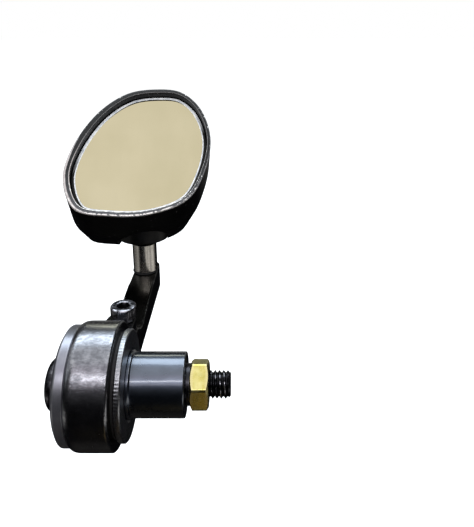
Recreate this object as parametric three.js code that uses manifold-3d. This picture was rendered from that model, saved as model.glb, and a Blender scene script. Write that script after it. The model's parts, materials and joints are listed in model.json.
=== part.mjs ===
// A handed bar-end mirror for a bicycle: an expander plug that grips inside the handlebar,
// an arm clamped round the plug's hub, and an oval convex mirror on a ball joint.
// Millimetres. +X runs along the handlebar towards its middle, +Y away from the rider, +Z up.
// The origin is on the handlebar's axis, where the tube's end meets the flange disc.
import * as THREE from 'three';
import { mergeVertices } from 'three/addons/utils/BufferGeometryUtils.js';
import Module from 'manifold-3d';

const wasm = await Module();
wasm.setup();

// ---------- driving dimensions ----------
const ROUND = 48;                 // sides of the large turned parts
const FINE = 28;                  // sides of bolts, nuts and washers
const RUN = 0.07;                 // radial running clearance
const SEAT = 0.05;                // gap between faces that rest on each other

const DISC_R = 15.7;              // flange disc that stops against the handlebar's end
const DISC_T = 1.9;
const RING_R = 18.07;             // clamp ring of the arm
const RING_IN = -2.8;             // its inboard and outboard faces
const RING_OUT = -14.65;
const RING_BORE = 13.07;
const CAP_R = 16.9;               // end cap
const CAP_WALL = 3.05;
const CAP_FACE = -20.4;
const SLEEVE_R = 9.2;             // rubber expander sleeve
const SLEEVE_L = 16.2;
const SLEEVE_SEAT_R = 10.3;       // shallow seat for the sleeve in the disc's face
const SLEEVE_SEAT_X = -0.4;
const BOLT_R = 4;                 // M8 draw bolt
const BOLT_END = 29.2;
const BOLT_PITCH = 1.25;
const THREAD_X = 20.9;            // start of the stretch of thread that ever shows
const BOLT_HEAD_R = 7.9;
const BOLT_HEAD_X = -18.9;        // underside of the bolt's head
const BOLT_HEAD_H = 4.4;
const BOLT_HEAD_EDGE = 2.6;        // rounding of the head's outer edge
const NUT_AF = 13;
const NUT_X = 17.6;
const NUT_T = 5.25;
const NUT_TURN = THREE.MathUtils.degToRad(37);

const ARM_OUT = -13.3;            // outboard and inboard sides of the arm's bar
const ARM_IN = -2.8;
const ARM_TIP_OUT = -12.2;        // the outboard side draws in towards the arm's end
const ARM_END = 83;
const BEVEL_TOP = -10;            // bevels along the bar's lower corners, and their slope
const BEVEL_SLOPE = 0.6;
const SLIT_LOW = 1;               // clamp slit, between the bar and the ear above it
const SLIT_HIGH = 2.2;
const EAR_TOP = 6.6;
const EAR_END = 30.2;
const PINCH = { x: -6.6, y: 25, headR: 4.25, headH: 5, shankR: 2.45 };

const STEM = { x: -7.8, y: 75, r: 5, base: 0.65, top: 13.2, spigotR: 3.5, boreR: 2.52 };
const BALL_Z = 22.8;
const BALL_R = 5;
const NECK_R = 2.4;
const SHELL_R = 6.5;              // outside of the ball's seat and pressure cup

const HEAD_PITCH = THREE.MathUtils.degToRad(50);   // mirror's normal above the horizon
const HEAD_YAW = THREE.MathUtils.degToRad(8);      // and turned inboard
const RIM_N = 19;                 // heights along the mirror's normal, from the ball's centre
const WALL_N = 1.8;
const FACET_N = -11;
const BACK_N = -12.3;
const BACK_RISE = 0.2;            // the head gets shallower towards its top
const LEDGE_N = 13.2;
const FLOOR_N = -7;
const GLASS_BACK_N = 14.3;
const GLASS_EDGE_N = 16.2;
const GLASS_CROWN = 0.7;
const GLASS_GAP = 0.4;            // round the glass, inside the rim
const GLASS_BEVEL_W = 1.5;        // ground bevel along the edge of the glass
const GLASS_BEVEL_H = 0.45;
const RIM_W = 2.25;               // mean width of the rim's face
const RECESS_SHIFT = 0.5;         // the rim is wider by this outboard, and narrower inboard
const BOSS_R = 10.75;             // socket boss, in line with the stem
const POST_R = 9.6;
const MOUTH_S = -7.1;             // distances along the socket's axis, from the ball's centre
const THROAT_S = -4.5;
const RETAINER_S = 7.25;

// Outline of the head, seen along its normal: [across, up] from the ball's centre.
const OUTLINE = [
  [7, 54.4], [17.6, 52.7], [25.5, 44], [29.3, 28], [26.2, 11.3], [18.2, -3],
  [3.5, -9], [-12, -8.9], [-24.4, -5.4], [-29.7, 9], [-26.3, 25.6], [-16.3, 43], [-4.5, 52.4],
];
const OUTLINE_STEPS = 52;

// ---------- helpers ----------
function solid(geometry) {
  const plain = (geometry.index ? geometry.toNonIndexed() : geometry).clone();
  for (const name of Object.keys(plain.attributes)) {
    if (name !== 'position') plain.deleteAttribute(name);
  }
  const merged = mergeVertices(plain, 1e-5);
  const index = Uint32Array.from(merged.index.array);
  const position = Float32Array.from(merged.attributes.position.array);
  const triangles = [];
  for (let i = 0; i < index.length; i += 3) {
    const [a, b, c] = [index[i], index[i + 1], index[i + 2]];
    if (a !== b && b !== c && c !== a) triangles.push(a, b, c);
  }
  if (signedVolume(position, triangles) < 0) {
    for (let i = 0; i < triangles.length; i += 3) {
      [triangles[i], triangles[i + 1]] = [triangles[i + 1], triangles[i]];
    }
  }
  const triVerts = Uint32Array.from(triangles);
  return new wasm.Manifold(new wasm.Mesh({ numProp: 3, vertProperties: position, triVerts }));
}

function signedVolume(p, triangles) {
  const corner = (i) => new THREE.Vector3(p[3 * i], p[3 * i + 1], p[3 * i + 2]);
  let sum = 0;
  for (let i = 0; i < triangles.length; i += 3) {
    const [a, b, c] = [0, 1, 2].map((k) => corner(triangles[i + k]));
    sum += a.dot(b.cross(c));
  }
  return sum;
}

function geometryOf(manifold) {
  const mesh = manifold.getMesh();
  const geometry = new THREE.BufferGeometry();
  const stride = mesh.numProp;
  const count = mesh.vertProperties.length / stride;
  const position = new Float32Array(count * 3);
  for (let i = 0; i < count; i += 1) {
    for (let k = 0; k < 3; k += 1) position[3 * i + k] = mesh.vertProperties[stride * i + k];
  }
  geometry.setAttribute('position', new THREE.BufferAttribute(position, 3));
  geometry.setIndex(Array.from(mesh.triVerts));
  geometry.computeVertexNormals();
  return geometry;
}

// Solid of revolution about Z from [radius, height] points, closed on itself or on the axis.
function turned(points, sides = FINE) {
  const onAxis = points[0][0] === 0 && points[points.length - 1][0] === 0;
  const loop = onAxis ? points : [...points, points[0]];
  const geometry = new THREE.LatheGeometry(loop.map(([r, h]) => new THREE.Vector2(r, h)), sides);
  geometry.rotateX(Math.PI / 2);
  return solid(geometry);
}

// The same about the handlebar's axis, from [x, radius] points.
function turnedX(points, sides = FINE) {
  const onAxis = points[0][1] === 0 && points[points.length - 1][1] === 0;
  const loop = onAxis ? points : [...points, points[0]];
  const geometry = new THREE.LatheGeometry(loop.map(([x, r]) => new THREE.Vector2(r, x)), sides);
  geometry.rotateZ(-Math.PI / 2);
  return solid(geometry);
}

function cylinder(radius, low, high, x = 0, y = 0, sides = FINE) {
  const geometry = new THREE.CylinderGeometry(radius, radius, high - low, sides);
  geometry.rotateX(Math.PI / 2);
  geometry.translate(x, y, (low + high) / 2);
  return solid(geometry);
}

function box([x0, x1], [y0, y1], [z0, z1]) {
  const geometry = new THREE.BoxGeometry(x1 - x0, y1 - y0, z1 - z0);
  geometry.translate((x0 + x1) / 2, (y0 + y1) / 2, (z0 + z1) / 2);
  return solid(geometry);
}

function hexagon(acrossFlats, low, high, turn = 0) {
  const geometry = new THREE.CylinderGeometry(
    acrossFlats / Math.sqrt(3), acrossFlats / Math.sqrt(3), high - low, 6);
  geometry.rotateX(Math.PI / 2);
  geometry.rotateZ(turn);
  geometry.translate(0, 0, (low + high) / 2);
  return geometry;
}

// Arc of [r, h] points on a circle, from one angle to another in degrees.
function arc(cx, cy, radius, from, to, steps) {
  const points = [];
  for (let i = 0; i <= steps; i += 1) {
    const t = THREE.MathUtils.degToRad(from + ((to - from) * i) / steps);
    points.push([cx + radius * Math.cos(t), cy + radius * Math.sin(t)]);
  }
  return points;
}

// A closed skin over rings of equal length, with a flat fan at each end.
function loft(rings) {
  const vertices = [];
  const index = [];
  const n = rings[0].length;
  for (const ring of rings) for (const p of ring) vertices.push(...p);
  for (let k = 0; k + 1 < rings.length; k += 1) {
    for (let i = 0; i < n; i += 1) {
      const j = (i + 1) % n;
      const [a, b, c, d] = [k * n + i, k * n + j, (k + 1) * n + j, (k + 1) * n + i];
      index.push(a, b, c, a, c, d);
    }
  }
  for (const [k, flip] of [[0, true], [rings.length - 1, false]]) {
    const middle = vertices.length / 3;
    const sum = rings[k].reduce((s, p) => [s[0] + p[0], s[1] + p[1], s[2] + p[2]], [0, 0, 0]);
    vertices.push(sum[0] / n, sum[1] / n, sum[2] / n);
    for (let i = 0; i < n; i += 1) {
      const [a, b] = [k * n + i, k * n + ((i + 1) % n)];
      index.push(...(flip ? [middle, b, a] : [middle, a, b]));
    }
  }
  const geometry = new THREE.BufferGeometry();
  geometry.setAttribute('position', new THREE.Float32BufferAttribute(vertices, 3));
  geometry.setIndex(index);
  return solid(geometry);
}

const outlineCurve = new THREE.CatmullRomCurve3(
  OUTLINE.map(([u, v]) => new THREE.Vector3(u, v, 0)), true, 'centripetal');
const outlinePoints = outlineCurve.getSpacedPoints(OUTLINE_STEPS).slice(0, OUTLINE_STEPS);
const outlineMiddle = outlinePoints
  .reduce((s, p) => s.add(p), new THREE.Vector3()).divideScalar(OUTLINE_STEPS);

// The head's outline moved inwards by inset, at height n, which rises by rise towards the top.
function headRing(inset, n, rise = 0) {
  const last = outlinePoints.length;
  return outlinePoints.map((p, i) => {
    const along = outlinePoints[(i + 1) % last].clone().sub(outlinePoints[(i + last - 1) % last]);
    const inward = new THREE.Vector3(-along.y, along.x, 0).normalize();
    if (inward.dot(outlineMiddle.clone().sub(p)) < 0) inward.negate();
    return [p.x + inward.x * inset, p.y + inward.y * inset, n + rise * Math.max(0, p.y)];
  });
}

const material = (color, roughness, metalness) =>
  new THREE.MeshStandardMaterial({ color, roughness, metalness });
const BLACK_METAL = material(0x17171a, 0.45, 0.5);
const BLACK_STEEL = material(0x202124, 0.4, 0.7);
const GREY_METAL = material(0x66686c, 0.5, 0.6);
const RUBBER = material(0x1b1c1f, 0.6, 0);
const ZINC_YELLOW = material(0xc8a850, 0.35, 0.9);
const STAINLESS = material(0xb4b0a8, 0.3, 1);
const NYLON = material(0xd8d4c8, 0.6, 0);
const BLACK_PLASTIC = material(0x101012, 0.6, 0);
const MIRROR = material(0xcfc9b4, 0.05, 1);

const mirror = new THREE.Group();
function add(parent, name, manifold, look) {
  const mesh = new THREE.Mesh(geometryOf(manifold), look);
  mesh.name = name;
  parent.add(mesh);
}

// ---------- expander plug and hub ----------
function hub() {
  const r = RING_BORE - RUN;
  const out = RING_OUT - 0.75;
  const bore = BOLT_R + RUN;
  return turnedX([[out, bore], [out, r - 0.6], [out + 0.6, r], [-DISC_T - SEAT, r],
    [-DISC_T - SEAT, bore]], ROUND);
}

function flangeDisc() {
  const bore = BOLT_R + RUN;
  return turnedX([[-DISC_T, bore], [-DISC_T, DISC_R - 0.35], [-DISC_T + 0.35, DISC_R],
    [-0.3, DISC_R], [0, DISC_R - 0.3], [0, SLEEVE_SEAT_R], [SLEEVE_SEAT_X, SLEEVE_SEAT_R],
    [SLEEVE_SEAT_X, bore]], ROUND);
}

function washerX(inner, outer, x0, x1, sides = FINE) {
  return turnedX([[x0, inner], [x0, outer], [x1, outer], [x1, inner]], sides);
}

function endCap() {
  const wallOut = RING_OUT - CAP_WALL;
  const pocket = BOLT_HEAD_X + 1.7;
  return turnedX([
    [RING_OUT - SEAT, 15.7], [RING_OUT - SEAT, CAP_R - 0.3], [RING_OUT - 0.35, CAP_R],
    ...arc(wallOut + 0.2, CAP_R - 1, 1, 90, 160, 3),
    [CAP_FACE + 0.5, 9.9], [CAP_FACE, 9.2], [CAP_FACE, 8.5], [pocket, 8.5],
    [pocket, BOLT_R + 0.3], [RING_OUT - 0.85, BOLT_R + 0.3], [RING_OUT - 0.85, 15.7],
  ], ROUND);
}

function springWasherX() {
  const ring = washerX(BOLT_R + 0.15, 7.2, BOLT_HEAD_X + SEAT, BOLT_HEAD_X + 1.6);
  return ring.subtract(box([BOLT_HEAD_X, BOLT_HEAD_X + 2], [-0.5, 0.5], [2, 9]));
}

function endBolt() {
  const crest = BOLT_R - 0.05;
  const root = BOLT_R - 0.65;
  const edgeX = BOLT_HEAD_X - BOLT_HEAD_H + BOLT_HEAD_EDGE;
  const edge = arc(edgeX, BOLT_HEAD_R - BOLT_HEAD_EDGE, BOLT_HEAD_EDGE, 180, 90, 6);
  const thread = [];
  for (let x = THREAD_X; x < BOLT_END - 1.4; x += BOLT_PITCH) {
    thread.push([x, root], [x + 0.55, crest], [x + 0.8, crest]);
  }
  const body = turnedX([
    [BOLT_HEAD_X - BOLT_HEAD_H, 0], ...edge, [BOLT_HEAD_X, BOLT_HEAD_R],
    [BOLT_HEAD_X, crest], [THREAD_X - 0.5, crest], ...thread, [BOLT_END - 0.9, root + 0.2],
    [BOLT_END, root - 0.4], [BOLT_END, 0],
  ]);
  const key = hexagon(5, BOLT_HEAD_X - BOLT_HEAD_H - 1, BOLT_HEAD_X - 1.4);
  key.rotateY(Math.PI / 2);
  return body.subtract(solid(key));
}

function expanderSleeve() {
  const inner = BOLT_R + 0.3;
  const start = SLEEVE_SEAT_X + SEAT;
  return turnedX([
    [start, inner], [start, SLEEVE_R + 0.5], [0.8, SLEEVE_R + 0.5], [1.2, SLEEVE_R],
    [SLEEVE_L - 0.5, SLEEVE_R], [SLEEVE_L, SLEEVE_R - 0.5], [SLEEVE_L, inner],
  ], ROUND);
}

function hexNut() {
  const high = NUT_X + NUT_T;
  const prism = hexagon(NUT_AF, NUT_X, high, NUT_TURN);
  prism.rotateY(Math.PI / 2);
  const corner = NUT_AF / Math.sqrt(3);
  const face = NUT_AF / 2 - 0.15;
  const drop = (corner - face) * Math.tan(Math.PI / 6);
  const cone = turnedX([[NUT_X, 0], [NUT_X, face], [NUT_X + drop, corner],
    [high - drop, corner], [high, face], [high, 0]]);
  const bore = turnedX([[NUT_X - 1, 0], [NUT_X - 1, 4.6], [NUT_X + 0.5, BOLT_R + RUN],
    [high - 0.5, BOLT_R + RUN], [high + 1, 4.6], [high + 1, 0]]);
  return solid(prism).intersect(cone).subtract(bore);
}

// ---------- arm ----------
function armBar() {
  const side = new THREE.Shape();
  side.moveTo(8, SLIT_LOW + 3);
  side.lineTo(27, SLIT_LOW);
  side.bezierCurveTo(31, SLIT_LOW, 31.5, -2.9, 38, -2.9);
  side.bezierCurveTo(46, -2.9, 52, 0, 68, 0);
  side.lineTo(ARM_END - 1.2, 0);
  side.quadraticCurveTo(ARM_END, 0, ARM_END, -1.2);
  side.lineTo(ARM_END, -9.5);
  side.quadraticCurveTo(ARM_END, -12.6, ARM_END - 4, -12.9);
  side.lineTo(40, -14.6);
  side.lineTo(12, -15.6);
  side.lineTo(8, -15);
  const geometry = new THREE.ExtrudeGeometry(side,
    { depth: ARM_IN - ARM_OUT, bevelEnabled: false, curveSegments: 10 });
  geometry.rotateX(Math.PI / 2);
  geometry.rotateZ(Math.PI / 2);
  geometry.translate(ARM_OUT, 0, 0);
  return solid(geometry);
}

function armPlan() {
  const corner = 2;
  const plan = new THREE.Shape();
  plan.moveTo(ARM_OUT - 1, 5);
  plan.lineTo(ARM_IN, 5);
  plan.lineTo(ARM_IN, ARM_END - corner);
  plan.quadraticCurveTo(ARM_IN, ARM_END, ARM_IN - corner, ARM_END);
  plan.lineTo(ARM_TIP_OUT + corner, ARM_END);
  plan.quadraticCurveTo(ARM_TIP_OUT, ARM_END, ARM_TIP_OUT, ARM_END - corner);
  plan.lineTo(ARM_OUT, 30);
  plan.lineTo(ARM_OUT - 1, 17);
  const geometry = new THREE.ExtrudeGeometry(plan,
    { depth: 30, bevelEnabled: false, curveSegments: 5 });
  geometry.translate(0, 0, -22);
  return solid(geometry);
}

function lowerBevel(x, inward) {
  const low = BEVEL_TOP - 10;
  const wedge = new THREE.Shape();
  wedge.moveTo(x - inward, -BEVEL_TOP - 1 / BEVEL_SLOPE);
  wedge.lineTo(x + inward * 10 * BEVEL_SLOPE, -low);
  wedge.lineTo(x - inward * 2, -low);
  wedge.lineTo(x - inward * 2, -BEVEL_TOP - 1 / BEVEL_SLOPE);
  const geometry = new THREE.ExtrudeGeometry(wedge, { depth: ARM_END + 2, bevelEnabled: false });
  geometry.rotateX(-Math.PI / 2);
  return solid(geometry);
}

function ear() {
  const plan = new THREE.Shape();
  plan.moveTo(-12.4, 10);
  plan.lineTo(-12.4, 24);
  plan.bezierCurveTo(-12.4, EAR_END + 1, -2.8, EAR_END + 1, -2.8, 25);
  plan.lineTo(-2.8, 10);
  const geometry = new THREE.ExtrudeGeometry(plan,
    { depth: EAR_TOP - SLIT_LOW + 0.5, bevelEnabled: false, curveSegments: 12 });
  geometry.translate(0, 0, SLIT_LOW - 0.5);
  return solid(geometry);
}

function mirrorArm() {
  const ring = turnedX([
    [RING_OUT, 3], [RING_OUT, CAP_R], [RING_OUT + 0.5, CAP_R + 0.7], [RING_OUT + 1.6, RING_R],
    [RING_IN - 0.5, RING_R], [RING_IN, RING_R - 0.5], [RING_IN, 3]], ROUND);
  const bar = armBar().intersect(armPlan());
  const bore = turnedX([[RING_OUT - 1, 0], [RING_OUT - 1, RING_BORE], [RING_IN + 1, RING_BORE],
    [RING_IN + 1, 0]], ROUND);
  const earRoot = turnedX([[RING_OUT, 0], [RING_OUT, 12], [RING_IN, 12], [RING_IN, 0]]);
  let arm = bar.subtract(lowerBevel(ARM_IN, -1)).subtract(lowerBevel(ARM_OUT, 1));
  arm = arm.add(ear().subtract(earRoot)).add(ring).subtract(bore);
  arm = arm.subtract(box([RING_OUT - 1, RING_IN + 1], [5, EAR_END + 3], [SLIT_LOW, SLIT_HIGH]));
  arm = arm.subtract(cylinder(PINCH.shankR + RUN, -7, EAR_TOP + 1, PINCH.x, PINCH.y));
  arm = arm.subtract(cylinder(STEM.spigotR + SEAT, -3, 1, STEM.x, STEM.y));
  arm = arm.subtract(cylinder(2.75, -16, 0, STEM.x, STEM.y));
  return arm.subtract(cylinder(4.6, -16, -7, STEM.x, STEM.y));
}

function capScrew(headR, headH, shankR, length, across) {
  const body = turned([[0, headH], [headR - 0.4, headH], [headR, headH - 0.4], [headR, 1],
    [headR - 0.6, 0], [shankR, 0], [shankR, 0.5 - length], [shankR - 0.5, -length], [0, -length]]);
  return body.subtract(solid(hexagon(across, headH - 2.4, headH + 1)));
}

function pinchScrew() {
  const screw = capScrew(PINCH.headR, PINCH.headH, PINCH.shankR, 13, 4);
  return screw.translate([PINCH.x, PINCH.y, EAR_TOP + SEAT]);
}

function stem() {
  const { r, base, top, spigotR, boreR } = STEM;
  return turned([[boreR, -2.9], [spigotR, -2.9], [spigotR, base], [r, base], [r, top - 0.4],
    [r - 0.4, top], [boreR, top]]).translate([STEM.x, STEM.y, 0]);
}

function stemGasket() {
  return turned([[3.62, SEAT], [5.25, SEAT], [5.25, 0.6], [3.62, 0.6]])
    .translate([STEM.x, STEM.y, 0]);
}

function stemScrew() {
  const screw = capScrew(4.2, 4.7, STEM.boreR - RUN, 12.5, 4);
  return screw.rotate([180, 0, 0]).translate([STEM.x, STEM.y, -8.35]);
}

function stemLockWasher() {
  const ring = turned([[2.6, -8.3], [4.1, -8.3], [4.1, -7.05], [2.6, -7.05]]);
  return ring.subtract(box([-0.4, 0.4], [2, 6], [-9, -6])).translate([STEM.x, STEM.y, 0]);
}

function ballStud() {
  const join = Math.asin(NECK_R / BALL_R);
  const from = -90 + THREE.MathUtils.radToDeg(join);
  const low = STEM.top + SEAT - BALL_Z;
  return turned([[0, 6.5 - BALL_Z], [2, 6.5 - BALL_Z], [STEM.boreR - RUN, 7 - BALL_Z],
    [STEM.boreR - RUN, low], [3.2, low], [3.2, low + 0.4], [NECK_R, low + 0.9],
    ...arc(0, 0, BALL_R, from, 80, 14), [0, BALL_R * Math.sin(THREE.MathUtils.degToRad(80))],
  ]).translate([STEM.x, STEM.y, BALL_Z]);
}

// ---------- ball joint and head, about the ball's centre ----------
function shell(from, to) {
  return turned([...arc(0, 0, BALL_R + RUN, from, to, 5), ...arc(0, 0, SHELL_R, to, from, 5)]);
}

// Turns a solid made about Z into line with the stem, in the head's own axes.
function onSocket(manifold) {
  const lean = THREE.MathUtils.radToDeg(Math.PI / 2 - HEAD_PITCH);
  return manifold.rotate([-lean, 0, 0]);
}

function mirrorHousing() {
  const outside = loft([headRing(0.5, RIM_N), headRing(0, RIM_N - 0.5), headRing(0, WALL_N),
    headRing(3.5, FACET_N, BACK_RISE), headRing(6.2, BACK_N, BACK_RISE)]);
  const recess = loft([headRing(RIM_W, RIM_N + 0.5), headRing(RIM_W + 0.1, LEDGE_N)])
    .translate([RECESS_SHIFT, 0, 0]);
  const hollow = loft([headRing(4.8, LEDGE_N + 0.5), headRing(7.8, FLOOR_N, BACK_RISE)])
    .translate([RECESS_SHIFT, 0, 0]);
  const post = onSocket(turned([[0, MOUTH_S], [BOSS_R - 0.8, MOUTH_S], [BOSS_R, MOUTH_S + 0.8],
    [BOSS_R, 1], [POST_R, 2], [POST_R, 10.6], [0, 10.6]], ROUND));
  const belowGlass = box([-60, 60], [-60, 90], [-40, LEDGE_N - 0.4]);
  const throat = Math.sqrt((SHELL_R + RUN) ** 2 - THROAT_S ** 2);
  const low = THREE.MathUtils.radToDeg(Math.asin(THROAT_S / (SHELL_R + RUN)));
  const socket = onSocket(turned([
    [0, MOUTH_S - 1], [7, MOUTH_S - 1], [throat, THROAT_S - 0.4], [throat, THROAT_S],
    ...arc(0, 0, SHELL_R + RUN, low, 0, 8), [6.9, 0.3], [6.9, RETAINER_S - 0.1],
    [7.15, RETAINER_S - 0.1], [7.15, 12], [0, 12]]));
  const spotFace = onSocket(turned([[0, MOUTH_S - 12], [BOSS_R, MOUTH_S - 12],
    [BOSS_R, MOUTH_S], [0, MOUTH_S]], ROUND));
  return outside.subtract(recess).subtract(hollow).subtract(spotFace)
    .add(post.intersect(belowGlass)).subtract(socket);
}

function mirrorGlass() {
  const inset = RIM_W + GLASS_GAP;
  const bevelTop = GLASS_EDGE_N + 0.15;
  const crowned = [0.8, 0.6, 0.4, 0.2].map((share) => headRing(inset + GLASS_BEVEL_W, 0)
    .map(([u, v]) => [
      outlineMiddle.x + (u - outlineMiddle.x) * share,
      outlineMiddle.y + (v - outlineMiddle.y) * share,
      bevelTop + GLASS_CROWN * (1 - share ** 2)]));
  return loft([headRing(inset, GLASS_BACK_N), headRing(inset, bevelTop - GLASS_BEVEL_H),
    headRing(inset + GLASS_BEVEL_W, bevelTop), ...crowned]).translate([RECESS_SHIFT, 0, 0]);
}

function glassPad() {
  return loft([headRing(RIM_W + 0.7, LEDGE_N + 0.1), headRing(RIM_W + 0.7, GLASS_BACK_N - 0.1)])
    .subtract(loft([headRing(RIM_W + 5, LEDGE_N - 1), headRing(RIM_W + 5, GLASS_BACK_N + 1)]))
    .translate([RECESS_SHIFT, 0, 0]);
}

function socketSpring() {
  return onSocket(turned([[3.2, 5.85], [6.4, 6.55], [6.4, 7.1], [3.2, 6.4]]));
}

function socketRetainer() {
  const ring = turned([[2.6, RETAINER_S], [7.05, RETAINER_S], [7.05, 9], [6.8, 9.25],
    [2.6, 9.25]]);
  return onSocket(ring.subtract(box([-8, -4.4], [-0.9, 0.9], [8, 10]))
    .subtract(box([4.4, 8], [-0.9, 0.9], [8, 10])));
}

// ---------- assembly ----------
add(mirror, 'hub', hub(), BLACK_METAL);
add(mirror, 'flange_disc', flangeDisc(), GREY_METAL);
add(mirror, 'inner_friction_washer',
  washerX(RING_BORE + 0.1, 14.9, RING_IN + 0.06, -DISC_T - SEAT, ROUND), BLACK_PLASTIC);
add(mirror, 'outer_friction_washer',
  washerX(RING_BORE + 0.1, 15.5, RING_OUT - 0.8, RING_OUT - 0.06, ROUND), BLACK_PLASTIC);
add(mirror, 'end_cap', endCap(), GREY_METAL);
add(mirror, 'bolt_spring_washer', springWasherX(), BLACK_STEEL);
add(mirror, 'end_bolt', endBolt(), BLACK_STEEL);
add(mirror, 'expander_sleeve', expanderSleeve(), RUBBER);
add(mirror, 'thrust_washer', washerX(BOLT_R + RUN, 5.9, SLEEVE_L + SEAT, NUT_X - SEAT),
  BLACK_STEEL);
add(mirror, 'hex_nut', hexNut(), ZINC_YELLOW);
add(mirror, 'mirror_arm', mirrorArm(), BLACK_METAL);
add(mirror, 'pinch_screw', pinchScrew(), BLACK_STEEL);
add(mirror, 'stem', stem(), STAINLESS);
add(mirror, 'stem_gasket', stemGasket(), BLACK_PLASTIC);
add(mirror, 'stem_screw', stemScrew(), BLACK_STEEL);
add(mirror, 'stem_lock_washer', stemLockWasher(), STAINLESS);
add(mirror, 'ball_stud', ballStud(), STAINLESS);
add(mirror, 'ball_seat', shell(-36, -5).translate([STEM.x, STEM.y, BALL_Z]), NYLON);
add(mirror, 'pressure_cup', shell(20, 72).translate([STEM.x, STEM.y, BALL_Z]), NYLON);

const head = new THREE.Group();
const normal = new THREE.Vector3(
  Math.sin(HEAD_YAW) * Math.cos(HEAD_PITCH), -Math.cos(HEAD_YAW) * Math.cos(HEAD_PITCH),
  Math.sin(HEAD_PITCH));
const across = new THREE.Vector3(0, 0, 1).cross(normal).normalize();
const upward = normal.clone().cross(across);
head.quaternion.setFromRotationMatrix(new THREE.Matrix4().makeBasis(across, upward, normal));
head.position.set(STEM.x, STEM.y, BALL_Z);
mirror.add(head);
add(head, 'mirror_housing', mirrorHousing(), BLACK_METAL);
add(head, 'mirror_glass', mirrorGlass(), MIRROR);
add(head, 'glass_pad', glassPad(), BLACK_PLASTIC);
add(head, 'socket_spring', socketSpring(), STAINLESS);
add(head, 'socket_retainer', socketRetainer(), ZINC_YELLOW);

export default mirror;
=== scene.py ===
# The looks of a handed bar-end mirror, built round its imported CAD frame.
# Sizes in the piece functions are millimetres; MM turns them into the frame's metres.
import json
import math

import bmesh
import bpy
import numpy as np
from mathutils import Matrix, Vector

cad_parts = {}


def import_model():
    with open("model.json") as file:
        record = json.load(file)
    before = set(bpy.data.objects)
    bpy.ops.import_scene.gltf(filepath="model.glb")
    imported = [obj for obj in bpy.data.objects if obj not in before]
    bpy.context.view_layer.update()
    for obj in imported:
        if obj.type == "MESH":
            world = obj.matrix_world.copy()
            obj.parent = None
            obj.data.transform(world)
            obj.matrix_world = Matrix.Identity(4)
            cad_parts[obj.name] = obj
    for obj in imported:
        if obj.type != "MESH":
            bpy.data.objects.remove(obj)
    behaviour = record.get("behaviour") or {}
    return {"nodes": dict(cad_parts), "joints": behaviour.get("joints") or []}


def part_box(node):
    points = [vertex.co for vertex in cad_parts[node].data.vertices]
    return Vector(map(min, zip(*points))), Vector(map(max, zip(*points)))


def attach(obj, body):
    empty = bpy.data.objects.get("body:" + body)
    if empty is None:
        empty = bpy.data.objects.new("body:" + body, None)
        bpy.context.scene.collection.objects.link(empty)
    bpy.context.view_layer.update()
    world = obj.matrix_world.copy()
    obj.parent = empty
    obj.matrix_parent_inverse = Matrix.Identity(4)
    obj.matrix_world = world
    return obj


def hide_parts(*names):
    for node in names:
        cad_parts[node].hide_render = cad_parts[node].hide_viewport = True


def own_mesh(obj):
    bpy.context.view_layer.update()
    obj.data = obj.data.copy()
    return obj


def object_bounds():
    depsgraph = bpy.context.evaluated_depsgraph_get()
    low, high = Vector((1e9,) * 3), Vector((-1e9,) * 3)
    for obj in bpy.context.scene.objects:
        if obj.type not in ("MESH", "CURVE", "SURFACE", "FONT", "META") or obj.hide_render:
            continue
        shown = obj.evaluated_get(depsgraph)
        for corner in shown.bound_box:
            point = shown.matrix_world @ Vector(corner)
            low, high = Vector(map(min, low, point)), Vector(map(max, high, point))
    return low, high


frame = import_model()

MM = 0.001
TURN = 2 * math.pi
CAD_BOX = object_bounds()
JOINTS = {joint["name"]: joint for joint in frame["joints"]}

# ---------- sizes read from the frame, in millimetres ----------


def span(node):
    """Lowest and highest corner of a CAD node, in millimetres."""
    low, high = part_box(node)
    return low / MM, high / MM


DISC_LOW, DISC_HIGH = span("flange_disc")
CAP_LOW, CAP_HIGH = span("end_cap")
SLEEVE_LOW, SLEEVE_HIGH = span("expander_sleeve")
BOLT_LOW, BOLT_HIGH = span("end_bolt")
NUT_LOW, NUT_HIGH = span("hex_nut")
WASHER_LOW, WASHER_HIGH = span("thrust_washer")
PINCH_LOW = span("pinch_screw")[0]
STEM_LOW = span("stem")[0]
SCREW_LOW, SCREW_HIGH = span("stem_screw")
ARM_LOW = span("mirror_arm")[0]
BALL = Vector(JOINTS["head_turn"]["pos_m"]) / MM

# ---------- sizes given here, not read from the frame -----
RING_OUT, RING_IN, RING_BORE = -14.65, -2.8, 13.07
RING_R = -ARM_LOW.z
BOLT_R, BOLT_PITCH = 3.95, 1.25
BOLT_HEAD_X, BOLT_HEAD_R, BOLT_HEAD_EDGE = -18.9, 7.9, 2.6
THREAD_X, THREAD_DEPTH = 17.4, 0.62
NUT_AF, NUT_TURN = 13.0, math.radians(37)
ARM_OUT, ARM_TIP_OUT, ARM_IN, ARM_END = -13.3, -12.2, -2.8, 83.0
BEVEL_TOP, BEVEL_SLOPE = -10.0, 0.6
SLIT_LOW, SLIT_HIGH, EAR_TOP, EAR_END = 1.0, 2.2, 6.6, 30.2
PINCH_X, PINCH_Y, PINCH_R, PINCH_H = -6.6, 25.0, 4.25, 5.0
STEM_R, STEM_BASE, STEM_TOP, STEM_BORE = 5.0, 0.65, 13.2, 2.52
BALL_R, NECK_R, SHELL_R, RUN = 5.0, 2.4, 6.5, 0.07
HEAD_PITCH, HEAD_YAW = math.radians(50), math.radians(8)
RIM_N, WALL_N, FACET_N, BACK_N, BACK_RISE = 19.0, 1.8, -11.0, -12.3, 0.2
LEDGE_N, FLOOR_N, RIM_W, RECESS_SHIFT = 13.2, -7.0, 2.25, 0.5
GLASS_BACK_N, GLASS_EDGE_N, GLASS_CROWN, GLASS_GAP = 14.3, 16.2, 0.7, 0.4
GLASS_BEVEL_W, GLASS_BEVEL_H = 1.5, 0.45
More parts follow.
